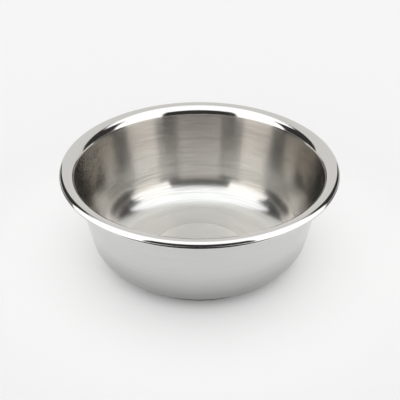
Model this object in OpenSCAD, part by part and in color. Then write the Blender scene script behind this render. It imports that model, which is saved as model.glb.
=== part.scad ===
// Stainless steel feeding bowl for a dog, drawn from one sheet, with a narrow flat rim that ends in a rolled edge.
// A flat rubber ring is bonded under the base so that the bowl stays where it is put.
// Millimetres, +Z up. The origin is the centre of the footprint, on the surface that the bowl stands on.

/* [Rim] */
// Overall diameter across the rolled edge
rim_d = 220; // [190:1:280]
// Outer radius of the shoulder, which is the top and the outer side of the rolled edge
shoulder_r = 3.6; // [2.6:0.1:5]
// Angle below level at which the shoulder ends and the tighter curl begins, in degrees
shoulder_end = 10; // [2:1:30]
// Outer radius of the tight curl under the shoulder
curl_r = 1.2; // [1:0.1:2]
// How far the sheet is turned from the top of the shoulder to its edge inside the curl, in degrees
roll_turn = 285; // [240:5:300]
// How far the top of the shoulder stands above the rim flange
shoulder_proud = 0.06; // [0.03:0.01:0.06]
// Radius of the small crease between the rim flange and the shoulder
crease_r = 1.2; // [0.8:0.1:2]
// Distance from the top of the shoulder in to the start of the lip bend
flange_w = 0.9; // [0.8:0.1:6]
// Radius of the upper part of the lip bend, on the side that shows
lip_r = 8; // [4:0.1:9]
// How far the upper part of the lip bend turns, in degrees
lip_turn = 60; // [30:1:65]
// Radius of the wider lower part of the lip bend, which runs into the wall
lip_low_r = 10; // [9:0.5:20]

/* [Bowl] */
// Height of the steel bowl from the underside of its base to the top of the rolled edge
bowl_h = 80; // [60:1:110]
// Thickness of the steel sheet
sheet_t = 0.6; // [0.4:0.05:1]
// Inner radius of the big bend between the wall and the base
corner_r = 27; // [12:1:32]

/* [Base] */
// Diameter of the flat base, inside the big corner bend
base_d = 120; // [100:1:140]
// Width of the flat land round the pressed centre
land_w = 21.5; // [14:0.5:30]
// How far the centre of the base is pressed up
centre_rise = 0.8; // [0.4:0.1:1.5]
// Radius of the two bends of the pressed step, on their tight side
step_r = 3; // [1.5:0.1:5]

/* [Non-slip ring] */
// Thickness of the rubber ring, which lifts the steel off the floor
ring_t = 2.5; // [1.5:0.1:4]
// Width of the rubber ring, from its inner to its outer edge
ring_w = 12; // [9:0.5:16]
// How far the ring follows the corner bend outwards, in degrees of that bend
ring_turn = 15; // [5:1:20]
// Radius of the ring's two lower edges
ring_edge_r = 0.4; // [0.2:0.1:0.6]

/* [Hidden] */
$fn = 240;

// The shoulder and the curl touch where the shoulder ends, so their centres lie on one line through that point
shoulder_x = rim_d / 2 - shoulder_r;
shoulder_z = ring_t + bowl_h - shoulder_r;
curl_x = shoulder_x + (shoulder_r - curl_r) * cos(shoulder_end);
curl_z = shoulder_z - (shoulder_r - curl_r) * sin(shoulder_end);
flange_z = ring_t + bowl_h - shoulder_proud;

// The crease and the shoulder are two arcs that touch, so one angle serves both
crease_turn = acos(1 - shoulder_proud / (shoulder_r + crease_r));
crease_x = shoulder_x - (shoulder_r + crease_r) * sin(crease_turn);
crease_z = flange_z + crease_r;

lip_x = shoulder_x - flange_w;
lip_z = flange_z - lip_r;
lip_low_x = lip_x + (lip_low_r - lip_r) * sin(lip_turn);
lip_low_z = lip_z - (lip_low_r - lip_r) * cos(lip_turn);
corner_x = base_d / 2;
corner_z = ring_t + sheet_t + corner_r;

// The wall is the straight line that touches the lower part of the lip bend and the corner bend
span_x = lip_low_x - corner_x;
span_z = lip_low_z - corner_z;
wall_lean = acos((lip_low_r + corner_r) / norm([span_x, span_z])) - atan2(span_z, span_x);

// The pressed step is two arcs of one angle that touch
land_x = corner_x - land_w;
step_span = 2 * step_r + sheet_t;
step_turn = acos(1 - centre_rise / step_span);
centre_x = land_x - step_span * sin(step_turn);
centre_z = ring_t + centre_rise;

// The ring ends where its outer edge meets the under face of the corner bend
ring_out_x = corner_x + (corner_r + sheet_t) * sin(ring_turn);
ring_in_x = ring_out_x - ring_w;
ring_edge_in = [ring_in_x + ring_edge_r, ring_edge_r];
ring_edge_out = [ring_out_x - ring_edge_r, ring_edge_r];

steel_colour = [0.80, 0.80, 0.79];
rubber_colour = [0.07, 0.07, 0.08];

// Widest angle between two points of a bend, and the least distance between two points of the section
arc_step = 5;
least_edge = 0.01;

// Points of an arc about centre, from angle a to angle b
function arc(centre, r, a, b) =
    let (steps = ceil(abs(b - a) / arc_step))
    [for (i = [0:steps]) let (t = a + (b - a) * i / steps) centre + r * [cos(t), sin(t)]];

function reversed(points) = [for (i = [len(points) - 1:-1:0]) points[i]];

// Bends that touch share a point, which is kept once
function spaced(points) =
    [for (i = [0:len(points) - 1]) if (i == 0 || norm(points[i] - points[i - 1]) > least_edge) points[i]];

// Each bend of the sheet, from the centre outwards: its centre, the radius of the upper face, the radius of
// the under face, and the angles where it starts and ends. Straight runs join them.
bends = [
    [[centre_x, centre_z - step_r], step_r + sheet_t, step_r, 90, 90 - step_turn],
    [[land_x, ring_t + sheet_t + step_r], step_r, step_r + sheet_t, -90 - step_turn, -90],
    [[corner_x, corner_z], corner_r, corner_r + sheet_t, -90, -90 + ring_turn],
    [[corner_x, corner_z], corner_r, corner_r + sheet_t, -90 + ring_turn, -wall_lean],
    [[lip_low_x, lip_low_z], lip_low_r, lip_low_r - sheet_t, 180 - wall_lean, 90 + lip_turn],
    [[lip_x, lip_z], lip_r, lip_r - sheet_t, 90 + lip_turn, 90],
    [[crease_x, crease_z], crease_r, crease_r + sheet_t, -90, -90 + crease_turn],
    [[shoulder_x, shoulder_z], shoulder_r, shoulder_r - sheet_t, 90 + crease_turn, 90],
    [[shoulder_x, shoulder_z], shoulder_r, shoulder_r - sheet_t, 90, 0],
    [[shoulder_x, shoulder_z], shoulder_r, shoulder_r - sheet_t, 0, -shoulder_end],
    [[curl_x, curl_z], curl_r, curl_r - sheet_t, -shoulder_end, 90 - roll_turn]
];

upper_face = concat([[0, centre_z + sheet_t]], [for (b = bends) each arc(b[0], b[1], b[3], b[4])]);
under_face = concat([[0, centre_z]], [for (b = bends) each arc(b[0], b[2], b[3], b[4])]);

module bowl_shell() {
    color(steel_colour)
        rotate_extrude()
            polygon(concat(spaced(under_face), reversed(spaced(upper_face))));
}

// The ring's section, from its inner upper corner down and round: the top follows the bowl's under face
ring_section = concat(
    [[ring_in_x, ring_t]],
    arc(ring_edge_in, ring_edge_r, 180, 270),
    arc(ring_edge_out, ring_edge_r, 270, 360),
    reversed(arc([corner_x, corner_z], corner_r + sheet_t, -90, -90 + ring_turn))
);

module non_slip_ring() {
    color(rubber_colour)
        rotate_extrude()
            polygon(spaced(ring_section));
}

bowl_shell();
non_slip_ring();
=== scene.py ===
# %% [markdown]
# # A stainless steel feeding bowl for a dog
# The bowl is one sheet of steel, drawn deep in a press, turned over at the lip and rolled in at the
# edge. A rubber ring under the base keeps it from sliding. We model it here as a maker would describe
# it: first the line of the sheet's upper face, seen as a section, and then one turn of that line about
# the bowl's axis.

# %% Load the frame
import math

import bmesh
import bpy
from mathutils import Matrix, Vector


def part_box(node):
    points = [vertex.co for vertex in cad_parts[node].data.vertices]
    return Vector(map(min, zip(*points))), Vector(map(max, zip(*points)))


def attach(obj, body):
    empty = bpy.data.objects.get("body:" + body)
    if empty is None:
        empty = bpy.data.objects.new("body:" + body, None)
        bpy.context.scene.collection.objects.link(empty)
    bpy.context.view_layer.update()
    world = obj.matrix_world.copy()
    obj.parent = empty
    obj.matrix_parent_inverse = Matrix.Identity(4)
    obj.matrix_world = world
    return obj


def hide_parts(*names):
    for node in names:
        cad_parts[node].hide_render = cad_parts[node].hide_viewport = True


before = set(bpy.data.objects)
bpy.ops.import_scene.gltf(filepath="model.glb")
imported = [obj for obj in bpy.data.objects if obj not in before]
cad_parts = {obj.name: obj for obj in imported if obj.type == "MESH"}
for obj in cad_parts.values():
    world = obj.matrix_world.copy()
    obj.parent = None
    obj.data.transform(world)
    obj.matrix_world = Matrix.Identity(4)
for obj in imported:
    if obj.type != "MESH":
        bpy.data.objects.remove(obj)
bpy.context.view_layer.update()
shell_low, shell_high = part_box("bowl_shell")
MM = 0.001
low_mm, high_mm = (tuple(round(v / MM, 2) for v in corner) for corner in (shell_low, shell_high))
print("the steel reaches from", low_mm, "to", high_mm, "mm")

# %% [markdown]
# The section of the sheet needs only a few sizes: where each bend has its centre, how tight it is and
# how far it turns. The overall diameter and the height come from the frame, so the looks sit on the
# real part. The other sizes are those of the same bowl's construction. We could trace a finished
# outline instead, but a chain of bends keeps every change of direction as smooth as a press leaves it.

# %% Sizes of the section
SHEET = 0.6 * MM
SHOULDER_R = 3.6 * MM
SHOULDER_END = math.radians(10)
CURL_R = 1.2 * MM
ROLL_TURN = math.radians(285)
SHOULDER_PROUD = 0.06 * MM
CREASE_R = 1.2 * MM
FLANGE_W = 0.9 * MM
LIP_R = 8 * MM
LIP_TURN = math.radians(60)
LIP_LOW_R = 10 * MM
CORNER_R = 27 * MM
BASE_R = 60 * MM
LAND_W = 21.5 * MM
CENTRE_RISE = 0.8 * MM
STEP_R = 3 * MM

RIM_R = shell_high.x
RIM_Z = shell_high.z
BASE_Z = shell_low.z

# %% Centres of the bends
shoulder_at = Vector((RIM_R - SHOULDER_R, 0, RIM_Z - SHOULDER_R))
curl_at = shoulder_at + (SHOULDER_R - CURL_R) * Vector((math.cos(SHOULDER_END), 0, -math.sin(SHOULDER_END)))
flange_z = RIM_Z - SHOULDER_PROUD
crease_turn = math.acos(1 - SHOULDER_PROUD / (SHOULDER_R + CREASE_R))
crease_at = Vector((shoulder_at.x - (SHOULDER_R + CREASE_R) * math.sin(crease_turn), 0, flange_z + CREASE_R))
lip_at = Vector((shoulder_at.x - FLANGE_W, 0, flange_z - LIP_R))
lip_low_at = lip_at + (LIP_LOW_R - LIP_R) * Vector((math.sin(LIP_TURN), 0, -math.cos(LIP_TURN)))
corner_at = Vector((BASE_R, 0, BASE_Z + SHEET + CORNER_R))
span = lip_low_at - corner_at
wall_lean = math.acos((LIP_LOW_R + CORNER_R) / span.length) - math.atan2(span.z, span.x)
land_at = Vector((BASE_R - LAND_W, 0, BASE_Z + SHEET + STEP_R))
step_span = 2 * STEP_R + SHEET
step_turn = math.acos(1 - CENTRE_RISE / step_span)
centre_at = Vector((land_at.x - step_span * math.sin(step_turn), 0, BASE_Z + CENTRE_RISE - STEP_R))
print("the wall leans", round(math.degrees(wall_lean), 2), "degrees")

# %% [markdown]
# A single vertex draws the section. Extruding it makes a straight run, and spinning it about the centre
# of a bend makes an arc that touches the run, with no point worked out by hand. Each run is cut into
# short pieces: shading blends from loop to loop, and a long flat face beside a bend would show that
# blend as a false curve in the metal.

# %% Tools for drawing a section
TURN_AXIS = Vector((0, 1, 0))
RUN_PIECE = 4 * MM
BEND_PIECE = 1.3 * MM
BEND_STEP = math.radians(9)


def straight_run(bm, tip, end):
    """Extrudes the tip of the section to end, in short pieces, and returns the new tip."""
    pieces = max(2, math.ceil((end - tip.co).length / RUN_PIECE))
    stride = (end - tip.co) / pieces
    for _ in range(pieces):
        new = bmesh.ops.extrude_vert_indiv(bm, verts=[tip])["verts"][0]
        bmesh.ops.translate(bm, verts=[new], vec=stride)
        tip = new
    return tip


def bend(bm, tip, centre, turn):
    """Spins the tip of the section about centre. A positive turn bends it down, towards the under side."""
    length = abs(turn) * (tip.co - centre).length
    steps = max(2, math.ceil(length / BEND_PIECE), math.ceil(abs(turn) / BEND_STEP))
    made = bmesh.ops.spin(bm, geom=[tip], cent=centre, axis=TURN_AXIS, angle=turn, steps=steps)
    return [e for e in made["geom_last"] if isinstance(e, bmesh.types.BMVert)][0]


# %% [markdown]
# Turning the section once about the bowl's axis is the press and the lathe in one. The full spin merges
# its first and last copy, the vertices that fall together on the axis are merged into one pole, and the
# normals are worked out before the sheet gets its thickness.

# %% Turn a section about the axis
ROUND_STEPS = 288
SAME_POINT = 0.002 * MM


def turn_about_axis(bm):
    """Spins the drawn section a full turn about Z and closes the seam and the pole."""
    geom = bm.verts[:] + bm.edges[:]
    bmesh.ops.spin(
        bm, geom=geom, cent=(0, 0, 0), axis=(0, 0, 1), angle=math.tau, steps=ROUND_STEPS, use_merge=True
    )
    bmesh.ops.remove_doubles(bm, verts=bm.verts[:], dist=SAME_POINT)
    bmesh.ops.recalc_face_normals(bm, faces=bm.faces[:])


def new_piece(name, bm):
    """Makes a smooth-shaded object at the origin from a bmesh."""
    for face in bm.faces:
        face.smooth = True
    mesh = bpy.data.meshes.new(name)
    bm.to_mesh(mesh)
    bm.free()
    piece = bpy.data.objects.new(name, mesh)
    bpy.context.scene.collection.objects.link(piece)
    return piece


# %% [markdown]
# The bowl itself: from the middle of the base outwards the section runs over the pressed centre, down
# its small step, along the flat land, round the big bottom bend, up the leaning wall, over the lip,
# along the flange, over the shoulder and round the tight curl. Solidify then adds the sheet below the
# drawn face.

# %% The steel bowl
def steel_bowl():
    bm = bmesh.new()
    tip = bmesh.ops.create_vert(bm, co=(0, 0, centre_at.z + STEP_R + SHEET))["vert"][0]
    tip = straight_run(bm, tip, centre_at + Vector((0, 0, STEP_R + SHEET)))
    tip = bend(bm, tip, centre_at, step_turn)
    tip = bend(bm, tip, land_at, -step_turn)
    tip = straight_run(bm, tip, corner_at - Vector((0, 0, CORNER_R)))
    tip = bend(bm, tip, corner_at, wall_lean - math.pi / 2)
    wall_top = lip_low_at + LIP_LOW_R * Vector((-math.cos(wall_lean), 0, math.sin(wall_lean)))
    tip = straight_run(bm, tip, wall_top)
    tip = bend(bm, tip, lip_low_at, math.pi / 2 - wall_lean - LIP_TURN)
    tip = bend(bm, tip, lip_at, LIP_TURN)
    tip = straight_run(bm, tip, Vector((crease_at.x, 0, flange_z)))
    tip = bend(bm, tip, crease_at, -crease_turn)
    tip = bend(bm, tip, shoulder_at, crease_turn)
    tip = bend(bm, tip, shoulder_at, math.pi / 2 + SHOULDER_END)
    bend(bm, tip, curl_at, ROLL_TURN - math.pi / 2 - SHOULDER_END)
    turn_about_axis(bm)
    return new_piece("steel_bowl", bm)


bowl = steel_bowl()
print("the bowl's drawn face:", len(bowl.data.vertices), "vertices,", len(bowl.data.polygons), "faces")

# %% [markdown]
# The press shop gives the sheet three finishes. The inside is brushed on a lathe, so its scratches are
# circles about the axis. The lip and the rolled edge are buffed almost to a mirror. The outside keeps a
# fine satin. We give each finish its own material and hand it out by where a face lies. Solidify can
# shift the material of the sheet's under side, which is how the outside gets its satin.

# %% Finish of each face
BRUSHED, BUFFED, SATIN = range(3)
buffed_from = lip_low_at.z + LIP_LOW_R * math.sin(wall_lean)


def hand_out_finishes(bowl):
    """Buffed above the wall's straight part, brushed below it, and satin on the whole under side."""
    for face in bowl.data.polygons:
        outside = math.hypot(face.center.x, face.center.y) > lip_at.x
        face.material_index = BUFFED if outside or face.center.z > buffed_from else BRUSHED


hand_out_finishes(bowl)
skin = bowl.modifiers.new("sheet", "SOLIDIFY")
skin.thickness = SHEET
skin.offset = -1
skin.material_offset = SATIN
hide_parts("bowl_shell")
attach(bowl, "root")

# %% [markdown]
# Node trees are easier to read when a few helpers do the wiring. One adds a node and sets its inputs,
# and one makes a Math node from two inputs, each of which may be a number or another node's output.

# %% Helpers for node trees
def add_node(tree, kind, inputs=None, **settings):
    """Adds a node, sets its properties, and sets or links the inputs given by name or number."""
    node = tree.nodes.new(kind)
    for key, value in settings.items():
        setattr(node, key, value)
    for key, value in (inputs or {}).items():
        socket = node.inputs[key]
        if isinstance(value, bpy.types.NodeSocket):
            tree.links.new(value, socket)
        else:
            socket.default_value = value
    return node


def maths(tree, operation, a, b=0.0):
    return add_node(tree, "ShaderNodeMath", {0: a, 1: b}, operation=operation).outputs[0]


def fade(tree, value, start, end, low=0.0, high=1.0):
    """A soft step: low up to start, high from end on."""
    inputs = {"Value": value, "From Min": start, "From Max": end, "To Min": low, "To Max": high}
    node = add_node(tree, "ShaderNodeMapRange", inputs, interpolation_type="SMOOTHSTEP")
    return node.outputs["Result"]


def new_group(name, inputs, outputs):
    """Starts a shader node group with float inputs (name: value), a Place vector input, and float outputs."""
    group = bpy.data.node_groups.new(name, "ShaderNodeTree")
    group.interface.new_socket("Place", in_out="INPUT", socket_type="NodeSocketVector")
    for label, value in inputs.items():
        socket = group.interface.new_socket(label, in_out="INPUT", socket_type="NodeSocketFloat")
        socket.default_value = value
    for label in outputs:
        group.interface.new_socket(label, in_out="OUTPUT", socket_type="NodeSocketFloat")
    return group, group.nodes.new("NodeGroupInput"), group.nodes.new("NodeGroupOutput")


# %% [markdown]
# Lathe lines run round the axis. Noise would make blots, so we stretch it: one direction counts
# millimetres along the section, which is distance from the axis plus height, and the other two are the
# sine and cosine of the angle, which close the pattern without a seam. The first output is a fine, even
# grain, the second picks out the few lines that are deep enough to be seen one by one.

# %% Group: lathe lines
GRAIN = {"Scale": 1.0, "Detail": 3.0, "Roughness": 0.6}
SPARSE = {"Scale": 0.37, "Detail": 1.0}
DEEP_FROM, DEEP_TO = 0.50, 0.75


def lathe_lines():
    inputs = {"Lines per mm": 3.0, "Turns": 2.0}
    group, given, result = new_group("lathe_lines", inputs, ["Grain", "Deep lines"])
    place = add_node(group, "ShaderNodeSeparateXYZ", {0: given.outputs["Place"]}).outputs
    flat = add_node(group, "ShaderNodeCombineXYZ", {"X": place["X"], "Y": place["Y"]}).outputs[0]
    radius = add_node(group, "ShaderNodeVectorMath", {0: flat}, operation="LENGTH").outputs["Value"]
    along = maths(group, "ADD", radius, place["Z"])
    along = maths(group, "MULTIPLY", maths(group, "MULTIPLY", along, 1 / MM), given.outputs["Lines per mm"])
    way = add_node(group, "ShaderNodeVectorMath", {0: flat}, operation="NORMALIZE").outputs[0]
    way = add_node(group, "ShaderNodeVectorMath", {0: way, 3: given.outputs["Turns"]}, operation="SCALE")
    spot = add_node(group, "ShaderNodeSeparateXYZ", {0: way.outputs[0]}).outputs
    where = add_node(group, "ShaderNodeCombineXYZ", {"X": spot["X"], "Y": spot["Y"], "Z": along}).outputs[0]
    fine = add_node(group, "ShaderNodeTexNoise", {"Vector": where, **GRAIN})
    sparse = add_node(group, "ShaderNodeTexNoise", {"Vector": where, **SPARSE})
    deep = fade(group, sparse.outputs["Fac"], DEEP_FROM, DEEP_TO)
    group.links.new(fine.outputs["Fac"], result.inputs["Grain"])
    group.links.new(deep, result.inputs["Deep lines"])
    return group


LATHE_LINES = lathe_lines()

# %% [markdown]
# Handling leaves its own marks: faint cloudy patches where the polish is a little duller, and a few
# short hairline scratches in no particular direction. Both stay subtle, because the bowl is new.

# %% Group: handling marks
CLOUD = {"Scale": 22.0, "Detail": 4.0}
CLOUD_FROM, CLOUD_TO = 0.42, 0.68
SWAY = {"Scale": 9.0, "Detail": 1.0}
SWAY_BY = 0.08
SCRATCH_CELLS = 45.0
SCRATCH_CORE, SCRATCH_EDGE = 0.004, 0.012
GATE = {"Scale": 60.0, "Detail": 0.0}
GATE_FROM, GATE_TO = 0.58, 0.66


def handling_marks():
    group, given, result = new_group("handling_marks", {}, ["Patches", "Hairlines"])
    place = given.outputs["Place"]
    cloud = add_node(group, "ShaderNodeTexNoise", {"Vector": place, **CLOUD})
    patches = fade(group, cloud.outputs["Fac"], CLOUD_FROM, CLOUD_TO)
    sway = add_node(group, "ShaderNodeTexNoise", {"Vector": place, **SWAY}).outputs["Color"]
    sway = add_node(group, "ShaderNodeVectorMath", {0: sway, 3: SWAY_BY}, operation="SCALE").outputs[0]
    moved = add_node(group, "ShaderNodeVectorMath", {0: place, 1: sway}, operation="ADD").outputs[0]
    inputs = {"Vector": moved, "Scale": SCRATCH_CELLS}
    cells = add_node(group, "ShaderNodeTexVoronoi", inputs, feature="DISTANCE_TO_EDGE").outputs["Distance"]
    line = fade(group, cells, SCRATCH_CORE, SCRATCH_EDGE, 1.0, 0.0)
    gate = add_node(group, "ShaderNodeTexNoise", {"Vector": place, **GATE})
    hair = maths(group, "MULTIPLY", line, fade(group, gate.outputs["Fac"], GATE_FROM, GATE_TO))
    group.links.new(patches, result.inputs["Patches"])
    group.links.new(hair, result.inputs["Hairlines"])
    return group


HANDLING = handling_marks()

# %% [markdown]
# All three finishes are the same metal, so one function makes them. Roughness sets how wide a
# reflection spreads. Anisotropic pulls it out across the lathe lines, turned a quarter, which is what
# makes the upright streaks on a brushed wall and the fans on a brushed base. The bump is about a
# micrometre deep. The colour changes slowly with height, and where it grows darker that is painted
# shade, for places where the real room was darker than our cards can make it: low on the outside, where
# the steel shows the shadowed table, and on the inside near the lip and on the flat land of the base. The
# lathe brushed the base more finely than the wall, so there the lines are fainter.

# %% Colours of the steel, some darkened as painted shade, as pairs of a height and a colour
MICROMETRE = 1e-6
EDGE_COLOURS = [(0, (0.690, 0.685, 0.671, 1))]
# painted shade: the inside is darker near the lip and on the flat land of the base, where the steel showed a
# darker room than the cards give
INSIDE_COLOURS_AND_SHADE = [
    (3.1 * MM, (0.607, 0.607, 0.595, 1)),
    (3.9 * MM, (0.699, 0.699, 0.685, 1)),
    (26 * MM, (0.727, 0.706, 0.670, 1)),
    (72 * MM, (0.607, 0.585, 0.553, 1)),
]
# painted shade: the outside is about half as bright at the foot, standing in for the shadowed table reflected
# in the steel
OUTSIDE_COLOURS_AND_SHADE = [
    (6 * MM, (0.335, 0.337, 0.328, 1)),
    (46 * MM, (0.655, 0.657, 0.641, 1)),
]

# %% Steel finishes
FAINT_UP_TO, FULL_FROM = 4 * MM, 14 * MM
FAINT = 0.42
GRAIN_FROM, GRAIN_TO = 0.35, 0.65
QUARTER_TURN = 0.25


def steel(name, colours, roughness, spread, anisotropic, lines_per_mm, turns, depth, line_shade):
    """Steel in colours by height.

    Spread is how much the marks change its roughness, turns how short the lines are, depth the height of the
    bump in micrometres, and line_shade how dark a line is beside the metal round it.
    """
    material = bpy.data.materials.new(name)
    material.use_nodes = True
    tree = material.node_tree
    shader = tree.nodes["Principled BSDF"]
    place = add_node(tree, "ShaderNodeTexCoord").outputs["Object"]
    inputs = {"Place": place, "Lines per mm": lines_per_mm, "Turns": turns}
    lines = add_node(tree, "ShaderNodeGroup", inputs, node_tree=LATHE_LINES).outputs
    marks = add_node(tree, "ShaderNodeGroup", {"Place": place}, node_tree=HANDLING).outputs

    dull = maths(tree, "ADD", lines["Grain"], marks["Patches"])
    dull = maths(tree, "ADD", dull, lines["Deep lines"])
    rough = maths(tree, "ADD", maths(tree, "MULTIPLY", dull, spread), roughness - spread)
    tree.links.new(rough, shader.inputs["Roughness"])

    height = add_node(tree, "ShaderNodeSeparateXYZ", {0: place}).outputs["Z"]
    # the colours by height carry painted shade on the inside and outside: their darker heights stand for a
    # darker room seen in the steel
    base = colours[0][1]
    for (below, _), (above, colour) in zip(colours, colours[1:]):
        share = fade(tree, height, below, above)
        base = add_node(tree, "ShaderNodeMix", {0: share, 6: base, 7: colour}, data_type="RGBA").outputs[2]
    if len(colours) == 1:
        base = base[:3]  # the vector socket below takes three numbers, not four
    strength = fade(tree, height, FAINT_UP_TO, FULL_FROM, FAINT, 1.0)
    fine_shade = fade(tree, lines["Grain"], GRAIN_FROM, GRAIN_TO, line_shade, 1.0)
    deep_shade = fade(tree, lines["Deep lines"], 0.0, 1.0, 1.0, line_shade)
    shade = maths(tree, "SUBTRACT", maths(tree, "MULTIPLY", fine_shade, deep_shade), 1.0)
    shade = maths(tree, "ADD", 1.0, maths(tree, "MULTIPLY", shade, strength))
    tint = add_node(tree, "ShaderNodeVectorMath", {0: base, 3: shade}, operation="SCALE").outputs[0]
    tree.links.new(tint, shader.inputs["Base Color"])

    cuts = maths(tree, "ADD", lines["Deep lines"], marks["Hairlines"])
    relief = maths(tree, "MULTIPLY", maths(tree, "SUBTRACT", lines["Grain"], cuts), strength)
    bump = add_node(tree, "ShaderNodeBump", {"Height": relief, "Distance": depth * MICROMETRE})
    tree.links.new(bump.outputs["Normal"], shader.inputs["Normal"])

    shader.inputs["Metallic"].default_value = 1.0
    shader.inputs["Anisotropic"].default_value = anisotropic
    shader.inputs["Anisotropic Rotation"].default_value = QUARTER_TURN
    return material


inside = steel(
    "steel_brushed_inside", INSIDE_COLOURS_AND_SHADE, roughness=0.185, spread=0.03, anisotropic=0.93,
    lines_per_mm=1.4, turns=5.0, depth=1.2, line_shade=0.88,
)
edge = steel(
    "steel_buffed_edge", EDGE_COLOURS, roughness=0.10, spread=0.02, anisotropic=0.2,
    lines_per_mm=2.0, turns=1.5, depth=0.1, line_shade=0.98,
)
outside = steel(
    "steel_satin_outside", OUTSIDE_COLOURS_AND_SHADE, roughness=0.22, spread=0.02, anisotropic=0.3,
    lines_per_mm=2.5, turns=2.0, depth=0.3, line_shade=0.96,
)
for finish in (inside, edge, outside):
    bowl.data.materials.append(finish)
print("finishes of the steel:", [material.name for material in bowl.data.materials])

# %% [markdown]
# The ring is moulded rubber. Its CAD node already has the right shape, so it stays and only gets a
# finish: nearly black, matt, with the fine pitted skin of a mould and a trace of dust in the pits.

# %% Rubber
RUBBER_CLEAN = (0.018, 0.018, 0.019, 1)
RUBBER_DUSTY = (0.045, 0.044, 0.042, 1)
PITS = {"Scale": 2500.0, "Detail": 2.0}
DUST = {"Scale": 140.0, "Detail": 5.0}
DUST_FROM, DUST_TO = 0.45, 0.75
PITS_FROM, PITS_TO = 0.3, 0.7
SMOOTH_RUBBER, ROUGH_RUBBER = 0.55, 0.8
PIT_DEPTH = 25 * MICROMETRE


def rubber():
    material = bpy.data.materials.new("rubber_black")
    material.use_nodes = True
    tree = material.node_tree
    shader = tree.nodes["Principled BSDF"]
    place = add_node(tree, "ShaderNodeTexCoord").outputs["Object"]
    pits = add_node(tree, "ShaderNodeTexNoise", {"Vector": place, **PITS}).outputs["Fac"]
    dust = add_node(tree, "ShaderNodeTexNoise", {"Vector": place, **DUST}).outputs["Fac"]
    inputs = {0: fade(tree, dust, DUST_FROM, DUST_TO), 6: RUBBER_CLEAN, 7: RUBBER_DUSTY}
    colour = add_node(tree, "ShaderNodeMix", inputs, data_type="RGBA").outputs[2]
    tree.links.new(colour, shader.inputs["Base Color"])
    rough = fade(tree, pits, PITS_FROM, PITS_TO, SMOOTH_RUBBER, ROUGH_RUBBER)
    tree.links.new(rough, shader.inputs["Roughness"])
    bump = add_node(tree, "ShaderNodeBump", {"Height": pits, "Distance": PIT_DEPTH})
    tree.links.new(bump.outputs["Normal"], shader.inputs["Normal"])
    return material


ring = bpy.data.objects["non_slip_ring"]
ring.data.materials.clear()
ring.data.materials.append(rubber())
print("finish of the ring:", ring.data.materials[0].name)

# %% [markdown]
# Polished metal shows the room, so the studio is half of the picture. The bowl stood in a small light
# tent: a soft box overhead, a tall one at each side of the camera, a pale sheet behind, and a dark gap
# for the camera, which draws the black line along the rim. We build the tent twice. For the steel it is
# a set of cards at their real distance, because the near and the far side of a bowl see a near card
# under different angles, with a dark room behind them. For everything matt it is the world, one even
# dome of light that leaves a soft shadow close round the foot.

# %% The studio as a world
world = bpy.data.worlds.new("studio")
bpy.context.scene.world = world
world.use_nodes = True
sky = world.node_tree

TENT_LIGHT = 1.0
TENT_COLOUR = (1, 1, 1, 1)
DARK_ROOM = 0.045
DARK_WARM = (1.0, 0.94, 0.89, 1)
PALE = (0.93, 0.935, 0.935, 1)

# %% What the camera and the steel see in the world
paths = add_node(sky, "ShaderNodeLightPath").outputs
studio = sky.nodes["Background"]
studio.inputs["Color"].default_value = TENT_COLOUR
studio.inputs["Strength"].default_value = TENT_LIGHT
dark = add_node(sky, "ShaderNodeBackground", {"Color": DARK_WARM, "Strength": DARK_ROOM})
backdrop = add_node(sky, "ShaderNodeBackground", {"Color": PALE})
inputs = {0: paths["Is Glossy Ray"], 1: studio.outputs[0], 2: dark.outputs[0]}
lit = add_node(sky, "ShaderNodeMixShader", inputs).outputs[0]
inputs = {0: paths["Is Camera Ray"], 1: lit, 2: backdrop.outputs[0]}
shown = add_node(sky, "ShaderNodeMixShader", inputs).outputs[0]
sky.links.new(shown, sky.nodes["World Output"].inputs["Surface"])

# %% [markdown]
# The bowl stands on a white table, a plain matt plane that keeps the bowl's soft shadow. The cards
# round it show in the steel alone: the camera, the table and the shadows don't know them. Black cards
# end the white table where the real one ended, in front and at the sides. Sizes are in metres, from
# the bowl's axis and from the table.

# %% Table and cards
TABLE_SIZE = 6.0
CARD_NEAR = 0.18
CARD_FAR = 2.4
CARD_HALF = 0.24
CARD_LIFT = 0.2 * MM
BOX_ASIDE = 0.295
BOX_FRONT = 0.387
BOX_BACK = -0.02
BOX_TOP = 0.68
TOP_HALF = 0.60
TOP_FRONT = 0.55
SHEET_BACK = 0.29
SHEET_HALF = 0.27


def flat_piece(name, x_low, x_high, y_low, y_high, z):
    """A level rectangle that faces up, from a grid of one square."""
    bm = bmesh.new()
    bmesh.ops.create_grid(bm, x_segments=1, y_segments=1, size=1)
    bmesh.ops.scale(bm, verts=bm.verts[:], vec=((x_high - x_low) / 2, (y_high - y_low) / 2, 1))
    bmesh.ops.translate(bm, verts=bm.verts[:], vec=((x_low + x_high) / 2, (y_low + y_high) / 2, z))
    return new_piece(name, bm)


def upright_piece(name, half_width, at, quarter_turns):
    """A rectangle as high as the tent, turned about the axis so that it stands beside or behind the bowl."""
    bm = bmesh.new()
    bmesh.ops.create_grid(bm, x_segments=1, y_segments=1, size=1)
    bmesh.ops.scale(bm, verts=bm.verts[:], vec=(half_width, BOX_TOP / 2, 1))
    turned = Matrix.Rotation(quarter_turns * math.pi / 2, 3, "Z") @ Matrix.Rotation(math.pi / 2, 3, "X")
    bmesh.ops.rotate(bm, verts=bm.verts[:], cent=(0, 0, 0), matrix=turned)
    bmesh.ops.translate(bm, verts=bm.verts[:], vec=(at[0], at[1], BOX_TOP / 2))
    return new_piece(name, bm)


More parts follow.
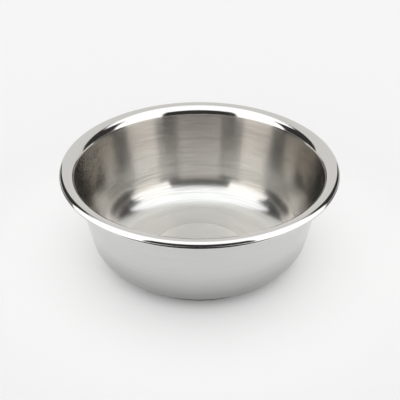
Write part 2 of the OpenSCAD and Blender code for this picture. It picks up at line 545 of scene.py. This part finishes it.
table = flat_piece("table", -TABLE_SIZE, TABLE_SIZE, -TABLE_SIZE, TABLE_SIZE, 0)
dark_cards = [
    flat_piece("dark_card_front", -CARD_HALF, CARD_HALF, -CARD_FAR, -CARD_NEAR, CARD_LIFT),
    flat_piece("dark_card_left", -CARD_FAR, -CARD_HALF, -BOX_BACK, SHEET_BACK, CARD_LIFT),
    flat_piece("dark_card_right", CARD_HALF, CARD_FAR, -BOX_BACK, SHEET_BACK, CARD_LIFT),
]
box_half = (BOX_FRONT - BOX_BACK) / 2
box_middle = -(BOX_FRONT + BOX_BACK) / 2
side_boxes = [
    upright_piece("soft_box_left", box_half, (-BOX_ASIDE, box_middle), 1),
    upright_piece("soft_box_right", box_half, (BOX_ASIDE, box_middle), 1),
]
top_box = flat_piece("soft_box_overhead", -TOP_HALF, TOP_HALF, -TOP_FRONT, SHEET_BACK, BOX_TOP)
back_sheet = upright_piece("back_sheet", SHEET_HALF, (0, SHEET_BACK), 0)
cards = (*dark_cards, *side_boxes, top_box, back_sheet)
for unseen in cards:
    unseen.visible_camera = False
    unseen.visible_shadow = False
    unseen.visible_diffuse = False
print("the stage:", table.name, *(card.name for card in cards))

# %% [markdown]
# Polished steel throws light back on the table round it, and the renderer leaves that light out,
# because it would have to find the lamps by way of a mirror. So the table's material adds it: nothing
# under the base, most of it just beside the foot, and none from about two bowl radii on. The strength
# of a card is its brightness in the steel.

# %% Table and card materials
TABLE_WHITE = 0.92
MATT_ROUGH = 0.9
CARD_DARK = 0.03
THROWN_LIGHT = 0.185
THROWN_FROM = 52 * MM
THROWN_MOST = 88 * MM
THROWN_TO = 230 * MM
SOFT_BOX = 1.52
SIDE_BOX = 1.62
BACK_PAPER = 0.85
COOL_WHITE = (0.985, 1.0, 1.005, 1)
WARM_WHITE = (1.0, 0.985, 0.965, 1)
PAPER_WHITE = (1.0, 0.985, 0.96, 1)


def matt(name, colour):
    material = bpy.data.materials.new(name)
    material.use_nodes = True
    shader = material.node_tree.nodes["Principled BSDF"]
    shader.inputs["Base Color"].default_value = (colour, colour, colour, 1)
    shader.inputs["Roughness"].default_value = MATT_ROUGH
    shader.inputs["Specular IOR Level"].default_value = 0.0
    return material


def table_material():
    """Matt white with the light that the bowl throws on it, and clear from below, for a view of the base."""
    material = matt("table_white", TABLE_WHITE)
    tree = material.node_tree
    shader = tree.nodes["Principled BSDF"]
    place = add_node(tree, "ShaderNodeTexCoord").outputs["Object"]
    distance = add_node(tree, "ShaderNodeVectorMath", {0: place}, operation="LENGTH").outputs["Value"]
    near = fade(tree, distance, THROWN_FROM, THROWN_MOST)
    thrown = maths(tree, "MULTIPLY", near, fade(tree, distance, THROWN_MOST, THROWN_TO, 1.0, 0.0))
    tree.links.new(thrown, shader.inputs["Emission Color"])
    shader.inputs["Emission Strength"].default_value = THROWN_LIGHT
    below = add_node(tree, "ShaderNodeNewGeometry").outputs["Backfacing"]
    clear = add_node(tree, "ShaderNodeBsdfTransparent").outputs[0]
    mixed = add_node(tree, "ShaderNodeMixShader", {0: below, 1: shader.outputs[0], 2: clear})
    tree.links.new(mixed.outputs[0], tree.nodes["Material Output"].inputs["Surface"])
    return material


def glowing(name, colour, strength):
    material = bpy.data.materials.new(name)
    material.use_nodes = True
    tree = material.node_tree
    glow = add_node(tree, "ShaderNodeEmission", {"Color": colour, "Strength": strength})
    tree.links.new(glow.outputs[0], tree.nodes["Material Output"].inputs["Surface"])
    return material


table.data.materials.append(table_material())
card_black = matt("card_black", CARD_DARK)
for piece in dark_cards:
    piece.data.materials.append(card_black)
side_cloth = glowing("soft_box_side_cloth", WARM_WHITE, SIDE_BOX)
for piece in side_boxes:
    piece.data.materials.append(side_cloth)
top_box.data.materials.append(glowing("soft_box_top_cloth", COOL_WHITE, SOFT_BOX))
back_sheet.data.materials.append(glowing("back_sheet_paper", PAPER_WHITE, BACK_PAPER))

# %% [markdown]
# The camera looks down at the bowl with a long lens. Its place comes from fitting the drawn section's
# circles to the outlines in the photograph.

# %% Camera
VIEW_DOWN = math.radians(32.29)
VIEW_BACK = 880 * MM
AIM = Vector((0.4 * MM, 0, 49.7 * MM))
LENS = 98.83
SENSOR = 36


def studio_camera():
    data = bpy.data.cameras.new("camera")
    data.lens = LENS
    data.sensor_width = SENSOR
    camera = bpy.data.objects.new("camera", data)
    bpy.context.scene.collection.objects.link(camera)
    away = Vector((0, -math.cos(VIEW_DOWN), math.sin(VIEW_DOWN)))
    camera.location = AIM + VIEW_BACK * away
    camera.rotation_mode = "QUATERNION"
    camera.rotation_quaternion = (-away).to_track_quat("-Z", "Y")
    bpy.context.scene.camera = camera


studio_camera()
print("camera at", tuple(round(v, 3) for v in bpy.context.scene.camera.location), "m")
bpy.context.scene.view_settings.view_transform = "Standard"
